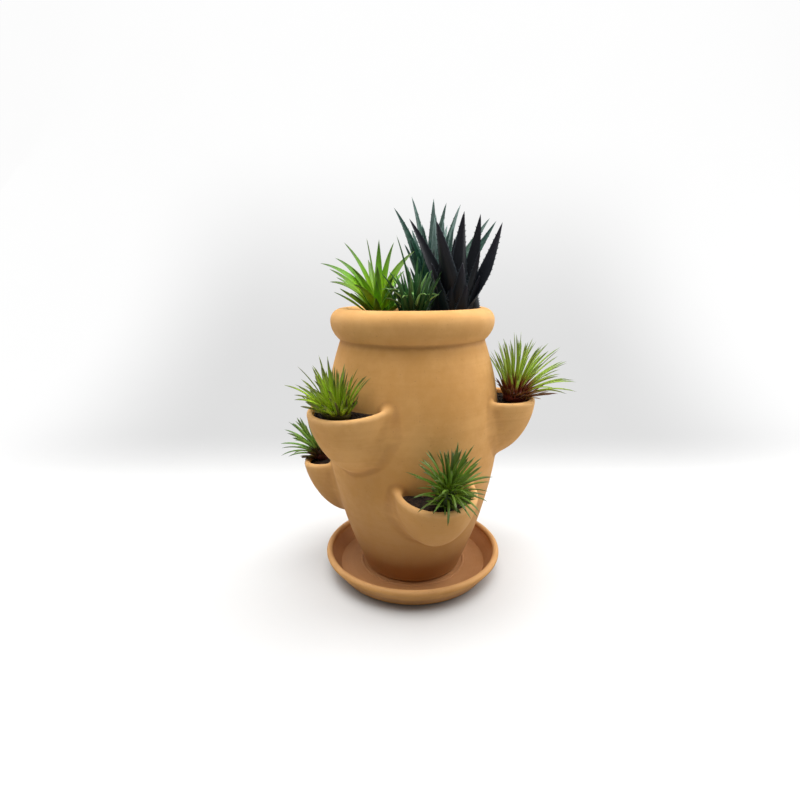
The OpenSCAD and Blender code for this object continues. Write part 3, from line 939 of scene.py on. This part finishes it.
# reach is how far the outer needles lean: away from the jar, along it and towards it
tufts = {
    "upper_left": {
        "step": (0, -2), "lean": 6, "share": 0.84,
        "reach": (36, 30, 12), "crown": (0.95, 1.75, 0.8),
        "count": 58, "width": 2.6, "bend": (24, 58), "inBend": 0.5, "shortest": 0.42,
        "basal": 48, "lowLean": (34, 66), "lowBend": (-24, 14), "oddShare": 0.22,
        "root": (0.44, 0.58, 0.026), "middle": (0.35, 0.51, 0.028), "tip": (0.12, 0.15, 0.022),
        "odd": (0.1, 0.09, 0.02), "rootEnd": 0.3, "tipStart": 0.66, "variety": 0.36,
    },
    "upper_right": {
        "step": (1, 1), "lean": 8, "share": 1.0,
        "reach": (60, 44, 24), "crown": (1.15, 1.3, 1.1),
        "count": 76, "width": 2.3, "bend": (34, 62), "inBend": 0.45, "shortest": 0.74,
        "basal": 34, "lowLean": (46, 70), "lowBend": (4, 40), "oddShare": 0.92,
        "root": (0.27, 0.06, 0.03), "middle": (0.32, 0.45, 0.045), "tip": (0.15, 0.21, 0.055),
        "odd": (0.19, 0.042, 0.024), "rootEnd": 0.28, "tipStart": 0.74,
    },
    "upper_back": {
        "step": (0, 4), "lean": 10, "share": 0.94,
        "reach": (58, 46, 22), "crown": (0.9, 1.35, 1.0),
        "count": 64, "width": 2.6, "bend": (20, 48), "inBend": 0.4, "shortest": 0.6,
        "basal": 30, "lowLean": (38, 64), "lowBend": (-16, 24), "oddShare": 0.3,
        "root": (0.28, 0.36, 0.03), "middle": (0.19, 0.33, 0.03), "tip": (0.08, 0.13, 0.02),
        "odd": (0.085, 0.075, 0.03), "rootEnd": 0.25, "tipStart": 0.66,
    },
    "lower_front": {
        "step": (1, 3), "lean": 24, "share": 0.8,
        "reach": (58, 60, 8), "crown": (0.65, 0.75, 2.0),
        "count": 70, "width": 2.3, "bend": (44, 84), "inBend": 0.5, "shortest": 0.62,
        "fallen": 0.72,
        "basal": 30, "lowLean": (40, 62), "lowBend": (-6, 30), "oddShare": 0.0,
        "root": (0.3, 0.42, 0.025), "middle": (0.12, 0.21, 0.016), "tip": (0.085, 0.135, 0.02),
        "odd": (0.03, 0.06, 0.012), "rootEnd": 0.16, "tipStart": 0.7, "variety": 0.36,
        "shine": 0.4,
        "hooks": ((-40, 14, 230, 17), (150, 10, 240, 15), (20, 4, 120, 13)),
    },
    "lower_back": {
        "step": (0, -4), "lean": 26, "share": 0.88,
        "reach": (44, 54, 18), "crown": (0.8, 1.0, 1.15),
        "count": 62, "width": 2.6, "bend": (24, 50), "inBend": 0.4, "shortest": 0.6,
        "basal": 26, "lowLean": (40, 62), "lowBend": (-10, 26), "oddShare": 0.2,
        "root": (0.25, 0.35, 0.03), "middle": (0.13, 0.28, 0.025), "tip": (0.06, 0.13, 0.02),
        "odd": (0.06, 0.07, 0.02), "rootEnd": 0.2, "tipStart": 0.66,
    },
    "lower_left": {
        "step": (2, 0), "lean": 34, "share": 0.74,
        "reach": (38, 48, 30), "crown": (0.65, 0.85, 1.3),
        "count": 40, "width": 3.2, "bend": (40, 66), "inBend": 0.8, "shortest": 0.7,
        "basal": 22, "lowLean": (34, 60), "lowBend": (10, 44), "oddShare": 0.85,
        "root": (0.11, 0.035, 0.017), "middle": (0.2, 0.37, 0.06), "tip": (0.1, 0.18, 0.05),
        "odd": (0.07, 0.016, 0.013), "rootEnd": 0.16, "tipStart": 0.72,
    },
}


def tuftPlace(name):
    kind = tufts[name]
    return (
        atPocket(name)
        @ shift(needle["out"] + kind["step"][0], kind["step"][1], -pocket["mixDrop"])
        @ turnY(kind["lean"] - pocket["places"][name][2])
    )


def tuftCrown(name):
    return [a * b for a, b in zip(needle["crown"], tufts[name]["crown"])]


def growTuft(name, kind, seed):
    rng = random.Random(seed)
    place, crown = tuftPlace(name), tuftCrown(name)
    full = needle["length"] * kind["share"]
    bm = newPlantMesh()
    growCrown(bm, place, crown, kind["lean"] - pocket["places"][name][2], 0.95)

    def grow(root, azimuth, leaf):
        leaf["width"] = kind["width"] * rng.uniform(0.8, 1.15)
        leaf["thick"] = needle["thick"] * kind["width"]
        leaf["twist"] = rng.uniform(-40, 40)
        growLeaf(bm, place @ root @ turnZ(azimuth), leaf, needle["form"], rng.random())

    for i in range(kind["count"]):
        u = (i + 0.5) / kind["count"]
        azimuth = i * golden + rng.uniform(-9, 9)
        a = math.radians(azimuth)
        inward = (1 - math.cos(a)) / 2
        out = kind["reach"][0] if math.cos(a) > 0 else kind["reach"][2]
        far = kind["reach"][1] * math.sin(a) ** 2 + out * math.cos(a) ** 2
        shortened = rng.uniform(kind["shortest"], 1.0) ** 0.7
        if math.cos(a) > 0:
            shortened *= 1 - (1 - kind.get("fallen", 1.0)) * u * math.cos(a)
        less = (1 - (1 - kind["inBend"]) * inward) * (0.45 + 0.55 * u)
        leaf = {
            "lean": far * u**0.7 + rng.uniform(-5, 2),
            "bend": rng.uniform(*kind["bend"]) * less,
            "length": full * (1 - 0.12 * u - 0.14 * u * inward) * shortened,
            "sway": rng.uniform(-0.07, 0.07),
            "outer": u,
        }
        grow(leafRoot(crown, azimuth, math.sqrt(u)), azimuth, leaf)
    for i in range(kind["basal"]):
        azimuth = i * golden + 40
        a = math.radians(azimuth)
        inward = (1 - math.cos(a)) / 2
        leaf = {
            "lean": rng.uniform(*kind["lowLean"]) * (1 - 0.5 * inward),
            "bend": rng.uniform(*kind["lowBend"]),
            "length": full * rng.uniform(*needle["low"]) * (1 - 0.4 * inward),
            "sway": rng.uniform(-0.1, 0.1),
            "outer": 1.0,
            "odd": 0.9 if rng.random() < kind["oddShare"] else 0.0,
        }
        low = crown[2] * rng.uniform(0.16, 0.34)
        root = shift(0.74 * crown[0] * math.cos(a), 0.74 * crown[1] * math.sin(a), low + 1)
        grow(root, azimuth, leaf)
    for azimuth, lean, bend, length in kind.get("hooks", ()):
        leaf = {"lean": lean, "bend": bend, "length": length, "outer": 0.0}
        grow(shift(0, 0, 0.86 * crown[2]), azimuth, leaf)
    placePiece(
        "needle_tuft_" + name,
        meshFrom(name, bm),
        "plant_" + name,
        [leafMaterial("needles_" + name, kind)],
        ["tuft_" + name],
    )


for index, (name, kind) in enumerate(tufts.items()):
    growTuft(name, kind, 40 + index)
print("tufts grown")


mouthCrown = (11, 8)
leafFoot = 1.6  # how far above the mix the low leaves and fillers start
mixTop = jar["footZ"] + jar["neckH"] + jar["collarH"] - jar["mixDrop"]
# leaves: azimuth, lean at the root, bend from root to tip, share of the plant's leaf length
# fillers: place, azimuth, lean, bend, length, width, how far they turn to the odd colour
# basal: count, ranges of length, width, lean and bend, share of odd ones, reach
mouthPlants = {
    "aloe_dark": {
        "at": (41, -18), "length": 90, "width": 20.5, "thick": 0.24, "crown": 1.1,
        "form": {
            "around": 14, "rows": 22, "channel": 0.3, "profile": (1.2, 0.84, 1.0),
            "teeth": 15, "toothLength": 0.9, "toothWidth": 0.5,
        },
        "root": (0.004, 0.0065, 0.0085), "middle": (0.0085, 0.0105, 0.0145),
        "tip": (0.015, 0.0135, 0.02),
        "edge": (0.05, 0.07, 0.085), "odd": (0.007, 0.017, 0.018), "edgeShare": 0.4,
        "variety": 0.3,
        "shine": 0.2,
        "broader": {0: 1.4, 2: 1.3},
        "fillers": (
            (-16, -5, -98, 3, 2, 44, 20, 0.3), (14, -5, -82, 4, 2, 40, 20, 0),
            (-5, -10, -92, 6, 2, 28, 22, 0.2),
            (5, -11, -86, 7, 0, 26, 20, 0), (4, 3, -85, 2, 2, 60, 24, 0),
            (-10, 4, -95, 1, 2, 56, 22, 0.4),
        ),
        "slot": "aloe_dark",
        "faces": {3: 55, 4: -50, 9: 60},
        "basal": (14, (26, 42), (17, 21), (2, 12), (-6, 8), 0.2, 14),
        "leaves": [
            (-65, 4, 6, 0.97), (95, 4, 4, 0.74), (-125, 17, 10, 0.93), (25, 17, -10, 1.00),
            (177, 19, 10, 1.02), (-35, 22, -10, 0.64), (140, 9, 6, 0.88), (-80, 20, -8, 0.52),
            (-155, 24, -6, 0.54), (-10, 28, -14, 0.96),
        ],
    },
    "aloe_teal": {
        "at": (20, 24), "length": 111, "width": 12, "thick": 0.33, "crown": 0.9,
        "form": {
            "around": 12, "rows": 22, "channel": 0.3, "profile": (1.15, 0.8, 0.75),
            "teeth": 12, "toothLength": 0.5, "toothWidth": 0.35,
        },
        "wider": 1.45,
        "root": (0.006, 0.05, 0.02), "middle": (0.008, 0.07, 0.035), "tip": (0.022, 0.06, 0.05),
        "edge": (0.06, 0.15, 0.11), "odd": (0.2, 0.29, 0.27), "edgeShare": 0.35, "bars": 0.4,
        "variety": 0.3,
        "slot": "aloe_teal",
        "odds": (0, 5, 9, 11),
        "fillers": (
            (2, -5, -90, -2, 6, 94, 17, 0.9), (8, -3, -74, 3, 6, 92, 17, 0.7),
            (12, -6, -62, 7, 8, 86, 15, 0.3),
            (-4, -8, -112, 5, 8, 84, 15, 0), (-9, -5, -135, 9, 10, 76, 15, 0),
            (3, 3, 100, -3, 4, 98, 15, 0.9),
            (-2, 0, -90, 0, 2, 74, 17, 0),
        ),
        "faces": {1: 30, 7: -45, 10: -40, 12: 40, 13: 55},
        "basal": (18, (44, 84), (12, 16), (3, 17), (0, 14), 0.16, 11),
        "leaves": [
            (80, 3, 4, 0.97), (-140, 3, 10, 0.74), (60, 3, 22, 0.99), (-10, 6, 8, 0.70),
            (140, 3, 16, 1.02), (20, 9, 9, 0.94), (40, 8, 20, 1.00), (175, 5, 26, 0.95),
            (120, 16, 12, 0.80), (0, 14, 3, 0.86), (205, 10, 20, 0.62), (70, 22, 10, 0.90),
            (35, 30, 12, 1.06), (8, 34, -2, 0.95),
        ],
    },
    "rosette_green": {
        "at": (-32, -10), "length": 70, "width": 8, "thick": 0.3, "crown": 0.8,
        "form": {"around": 10, "rows": 20, "channel": 0.4, "profile": (2.2, 1.0, 0.62)},
        "wider": 1.25,
        "root": (0.36, 0.58, 0.02), "middle": (0.2, 0.43, 0.02), "tip": (0.08, 0.16, 0.022),
        "edge": (0.35, 0.56, 0.05), "odd": (0.04, 0.13, 0.014), "edgeShare": 0.25,
        "rootEnd": 0.44,
        "tipStart": 0.7, "variety": 0.2, "slot": "rosette_green",
        "fillers": (
            (9, -5, -58, 8, 8, 36, 9, 0.9), (11, -3, -34, 14, 14, 34, 9, 0.9),
            (6, -8, -76, 16, 10, 24, 9, 0.8),
            (-5, -7, -128, 44, 16, 38, 8, 0.7),
        ),
        "faces": {1: 35, 4: -35, 8: -40, 10: -35, 12: -40, 14: -30, 6: 40, 2: 30},
        "basal": (20, (26, 46), (8, 10), (16, 54), (4, 26), 0.12, 8),
        "leaves": [
            (80, 2, 4, 0.94), (150, 5, 8, 0.97), (20, 2, 20, 0.93), (-90, 8, 16, 0.62),
            (190, 6, 36, 1.00), (-40, 12, 30, 0.56), (25, 6, 50, 0.97), (110, 18, 30, 0.86),
            (175, 10, 52, 0.92), (-130, 16, 40, 0.74), (185, 16, 62, 1.00), (60, 30, 34, 0.84),
            (205, 28, 36, 0.84), (250, 38, 46, 0.80), (215, 26, 62, 0.80), (145, 38, 34, 0.86),
            (228, 58, 4, 0.68), (100, 46, 26, 0.72),
        ],
    },
    "sprig_fine": {
        "at": (1, -40), "length": 52, "width": 4, "thick": 0.5, "crown": 0.6,
        "form": {"around": 8, "rows": 16, "channel": 0.3, "profile": (1.6, 0.9, 0.8)},
        "root": (0.006, 0.035, 0.006), "middle": (0.013, 0.07, 0.013), "tip": (0.04, 0.13, 0.028),
        "edge": (0.04, 0.14, 0.03), "odd": (0.24, 0.42, 0.13), "edgeShare": 0.2, "variety": 0.4,
        "fillers": (
            (-3, -2, -150, -24, 128, 42, 4.4, 0.9), (-2, -4, -110, -20, 140, 38, 4.2, 0.9),
            (-4, 0, 172, -14, 118, 44, 4.4, 0.85), (1, -4, -60, -24, 136, 38, 4.2, 0.9),
            (-5, -3, -170, 6, 84, 30, 3.2, 0.9), (-1, -3, -88, -26, 150, 42, 3.4, 0.85),
            (2, -2, -20, -16, 120, 36, 3.2, 0.8),
        ),
        "slot": "sprig_green",
        "odds": (2, 5, 7, 9, 10, 11),
        "basal": (44, (24, 50), (4.6, 7.0), (1, 22), (0, 24), 0.0, 10),
        "leaves": [
            (60, 4, 10, 0.95), (175, 2, 18, 1.30), (-100, 8, 24, 0.74), (20, 6, 8, 0.88),
            (120, 6, 14, 0.84), (-55, 12, 30, 0.78), (-150, 14, 30, 0.82), (-15, 10, 20, 0.68),
            (200, 28, 14, 0.84), (-125, 25, 50, 0.64), (-75, 24, 50, 0.58), (-30, 26, 46, 0.56),
        ],
    },
}


def growMouthPlant(name, kind, seed):
    rng = random.Random(seed)
    place = shift(*kind["at"], mixTop)
    crown = (kind["crown"] * mouthCrown[0], kind["crown"] * mouthCrown[0], mouthCrown[1])
    bm = newPlantMesh()
    growCrown(bm, place, crown, 0, 0.3)

    def grow(root, azimuth, leaf):
        leaf["thick"] = kind["width"] * kind["thick"] * leaf.pop("thicker", 1.0)
        tint = rng.random()
        seat = place @ root @ turnZ(azimuth)
        growLeaf(bm, seat, leaf, kind["form"], tint)
        if "teeth" in kind["form"]:
            growTeeth(bm, seat, leaf, kind["form"], tint)

    rows = kind["leaves"]
    for i, (azimuth, lean, bend, share) in enumerate(rows):
        out = math.sqrt((i + 0.5) / len(rows))
        leaf = {
            "lean": lean,
            "bend": bend,
            "length": kind["length"] * share,
            "width": kind["width"] * kind.get("wider", 1.0) * kind.get("broader", {}).get(i, 1.0),
            "twist": kind.get("faces", {}).get(i, 0) + rng.uniform(-8, 8),
            "sway": rng.uniform(-0.01, 0.01),
            "outer": out,
            "odd": 0.85 if i in kind.get("odds", ()) else 0.0,
        }
        grow(leafRoot(crown, azimuth, out), azimuth, leaf)
    count, lengths, widths, leans, bends, oddShare, seat = kind["basal"]
    for i in range(count):
        azimuth = i * golden + rng.uniform(-12, 12)
        out = seat * math.sqrt((i + 0.5) / count)
        a = math.radians(azimuth)
        u = (i + 0.5) / count
        leaf = {
            "lean": leans[0] + (leans[1] - leans[0]) * u + rng.uniform(-3, 3),
            "bend": rng.uniform(*bends),
            "length": rng.uniform(*lengths),
            "width": rng.uniform(*widths),
            "twist": rng.uniform(-25, 25),
            "thicker": 0.7,
            "outer": u,
            "odd": 0.85 if rng.random() < oddShare else 0.0,
        }
        grow(shift(out * math.cos(a), out * math.sin(a), leafFoot), azimuth, leaf)
    for x, y, azimuth, lean, bend, length, width, odd in kind.get("fillers", ()):
        leaf = {"lean": lean, "bend": bend, "length": length, "width": width, "odd": odd}
        leaf["outer"] = 0.6
        grow(shift(x, y, leafFoot), azimuth, leaf)
    placePiece(
        name + "_plant",
        meshFrom(name, bm),
        "plant_" + name,
        [leafMaterial(name + "_leaves", kind)],
        [name],
    )


for index, (name, kind) in enumerate(mouthPlants.items()):
    growMouthPlant(name, kind, 70 + index)
print("mouth plants grown")


def strewMouth():
    plants = [(kind["at"], kind["crown"] * mouthCrown[0]) for kind in mouthPlants.values()]
    reach = jar["mouthR"] - crumb["large"]

    def allowed(rng):
        x, y = rng.uniform(-reach, reach), rng.uniform(-reach, reach)
        taken = any(math.hypot(x - p[0], y - p[1]) < r + crumb["clear"] for p, r in plants)
        return None if taken or math.hypot(x, y) > reach else (x, y)

    rng = random.Random(11)
    growCrumbs("crumbs_mouth", crumb["mouth"], rng, Matrix.Identity(4), mixTop, allowed)


def strewPocket(name, seed):
    place = atPocket(name)
    inside = pocket["places"][name][3] * pocket["width"] / 2 - pocket["wall"] - crumb["large"]
    step, crown = tufts[name]["step"], tuftCrown(name)
    middle = (needle["out"] + step[0], step[1])

    def allowed(rng):
        x, y = rng.uniform(-6, inside), rng.uniform(-inside, inside)
        spot = place @ Vector((x * mm, y * mm, -pocket["mixDrop"] * mm)) / mm
        face = jarRadius(spot.z - jar["footZ"]) + crumb["large"]
        if math.hypot(x, y) > inside or math.hypot(spot.x, spot.y) < face:
            return None
        wide, long = (0.9 * c + crumb["clear"] for c in crown[:2])
        near = ((x - middle[0]) / wide) ** 2 + ((y - middle[1]) / long) ** 2
        return None if near < 1 else (x, y)

    rng = random.Random(seed)
    growCrumbs("crumbs_" + name, crumb["pocket"], rng, place, -pocket["mixDrop"], allowed)


strewMouth()
finishNode("mix_core", pottingMix)
for index, name in enumerate(tufts):
    strewPocket(name, 20 + index)
    finishNode("mix_" + name, pottingMix)
for name in list(tufts) + list(mouthPlants):
    finishNode("pick_" + name, pickPlastic)
print("mix strewn and picks finished")


shot = {
    "place": (0.0, -0.4911, 0.2997),
    "lens": 22.2,
    "sensor": 36.0,
    "down": 13.29,
    "yaw": -1.46,
    "roll": -0.39,
}


def aimCamera():
    yaw, down, roll = (math.radians(shot[k]) for k in ("yaw", "down", "roll"))
    level = math.cos(down)
    forward = Vector((math.sin(yaw) * level, math.cos(yaw) * level, -math.sin(down)))
    side = Vector((math.cos(yaw), -math.sin(yaw), 0.0))
    up = side.cross(forward)
    side, up = (
        math.cos(roll) * side + math.sin(roll) * up,
        -math.sin(roll) * side + math.cos(roll) * up,
    )
    data = bpy.data.cameras.new("photo_camera")
    data.lens = shot["lens"]
    data.sensor_width = shot["sensor"]
    data.clip_start = 0.01
    camera = bpy.data.objects.new("photo_camera", data)
    turned = Matrix((side, up, -forward)).transposed().to_4x4()
    camera.matrix_world = Matrix.Translation(shot["place"]) @ turned
    bpy.context.scene.collection.objects.link(camera)
    bpy.context.scene.camera = camera


studio = {
    # place, aim, width, height, watts
    "left": ((-1.3, 0.5, 0.9), (0, 0, 0.2), 1.2, 1.3, 8.5),
    "right": ((1.3, 0.4, 0.95), (0, 0, 0.2), 1.2, 1.3, 19),
    "top": ((0.0, -0.1, 1.7), (0, 0, 0.1), 1.5, 1.5, 40.5),
    "ahead": 0.85,
    "behind": 0.17,
    "backdrop": 0.85,
}


# Soft boxes at the sides and above, in a white room that is dimmer on the camera's side.
def lightStudio():
    for name in ("left", "right", "top"):
        place, aim, wide, high, watts = studio[name]
        data = bpy.data.lights.new(name + "_softbox", "AREA")
        data.shape = "RECTANGLE"
        data.size, data.size_y, data.energy = wide, high, watts
        lamp = newObject(name + "_softbox", data)
        lamp.location = place
        lamp.rotation_euler = (Vector(aim) - Vector(place)).to_track_quat("-Z", "Y").to_euler()
    world = bpy.data.worlds.new("studio")
    world.use_nodes = True
    tree = world.node_tree
    facing = addNode(tree, "ShaderNodeTexCoord").outputs["Generated"]
    ahead = addNode(tree, "ShaderNodeSeparateXYZ", {"Vector": facing}).outputs[1]
    walls = spread(tree, ahead, -0.7, 0.6, studio["behind"], studio["ahead"])
    seen = addNode(tree, "ShaderNodeLightPath").outputs["Is Camera Ray"]
    bright = mixColours(tree, seen, (0, 0, 0, 1), (studio["backdrop"],) * 3 + (1,))
    unseen = minus(tree, 1.0, seen)
    bright = mixColours(tree, 1.0, bright, times(tree, walls, unseen), "ADD")
    tree.links.new(bright, tree.nodes["Background"].inputs["Color"])
    bpy.context.scene.world = world
    bpy.context.scene.view_settings.view_transform = "Standard"


sweep = {
    "front": -3.0,
    "bend": 0.24,
    "round": 0.9,
    "top": 2.6,
    "half": 3.5,
    "steps": 24,
    # what the camera sees of the paper, a glow of painted light and shade for the camera only:
    # its lift on the floor, its greys low down and high up
    "lift": 0.2,
    "greys": (0.7, 0.965),
    "depths": (0.13, 0.43),
    "heights": (0.08, 0.75),
    "sides": (0.4, 0.85),
    "contactShadow": (0.078, 0.102),
    "faraway": (0.9, 3.0, 0.0, 0.34),
}


# One pale sheet, flat under the jar and curved up behind it, glowing for the camera with painted
# light and shade.
def hangSweep():
    bm = bmesh.new()
    middle = (sweep["bend"], sweep["round"])
    side = [(sweep["front"], 0.0)] + arcPoints(middle, sweep["round"], -90, 0, sweep["steps"])
    side.append((sweep["bend"] + sweep["round"], sweep["top"]))
    line = [bm.verts.new((-sweep["half"], y, z)) for y, z in side]
    edges = [bm.edges.new(pair) for pair in zip(line, line[1:])]
    drawn = bmesh.ops.extrude_edge_only(bm, edges=edges)
    moved = [g for g in drawn["geom"] if isinstance(g, bmesh.types.BMVert)]
    bmesh.ops.translate(bm, vec=(2 * sweep["half"], 0, 0), verts=moved)
    sheet = newObject("studio_sweep", meshFrom("studio_sweep", bm))
    paint = bpy.data.materials.new("sweep_paper")
    paint.use_nodes = True
    surface = paint.node_tree.nodes["Principled BSDF"]
    surface.inputs["Roughness"].default_value = 0.8
    surface.inputs["Specular IOR Level"].default_value = 0.1
    surface.inputs["Emission Color"].default_value = (1, 1, 1, 1)
    tree = paint.node_tree
    where, apart = objectPlace(tree)
    fibre = noise(tree, where, 9.0, 3.0, 0.5)
    wall = spread(tree, apart[1], *sweep["depths"])
    radius = fromAxis(tree, apart)
    seen = addNode(tree, "ShaderNodeLightPath").outputs["Is Camera Ray"]
    # painted shade on the wall: darker low down, lighter high up and towards the sides
    grey = spread(tree, apart[2], *sweep["heights"], *sweep["greys"])
    aside = spread(tree, work(tree, "ABSOLUTE", apart[0]), *sweep["sides"])
    grey = plus(tree, grey, times(tree, minus(tree, 0.96, grey), aside))
    grey = plus(tree, grey, times(tree, fibre, 0.01))
    # more glow on the floor far away: painted light
    low = plus(tree, spread(tree, radius, *sweep["faraway"]), sweep["lift"])
    lift = plus(tree, times(tree, wall, minus(tree, grey, low)), low)
    # no glow under the saucer's overhang: a painted contact shadow
    lift = times(tree, lift, spread(tree, radius, *sweep["contactShadow"]))
    tree.links.new(times(tree, seen, lift), surface.inputs["Emission Strength"])
    faded = times(tree, seen, wall)
    paper = mixColours(tree, faded, (0.5, 0.5, 0.497, 1), (0.01, 0.01, 0.01, 1))
    tree.links.new(paper, surface.inputs["Base Color"])
    sheet.data.materials.append(paint)


aimCamera()
lightStudio()
hangSweep()
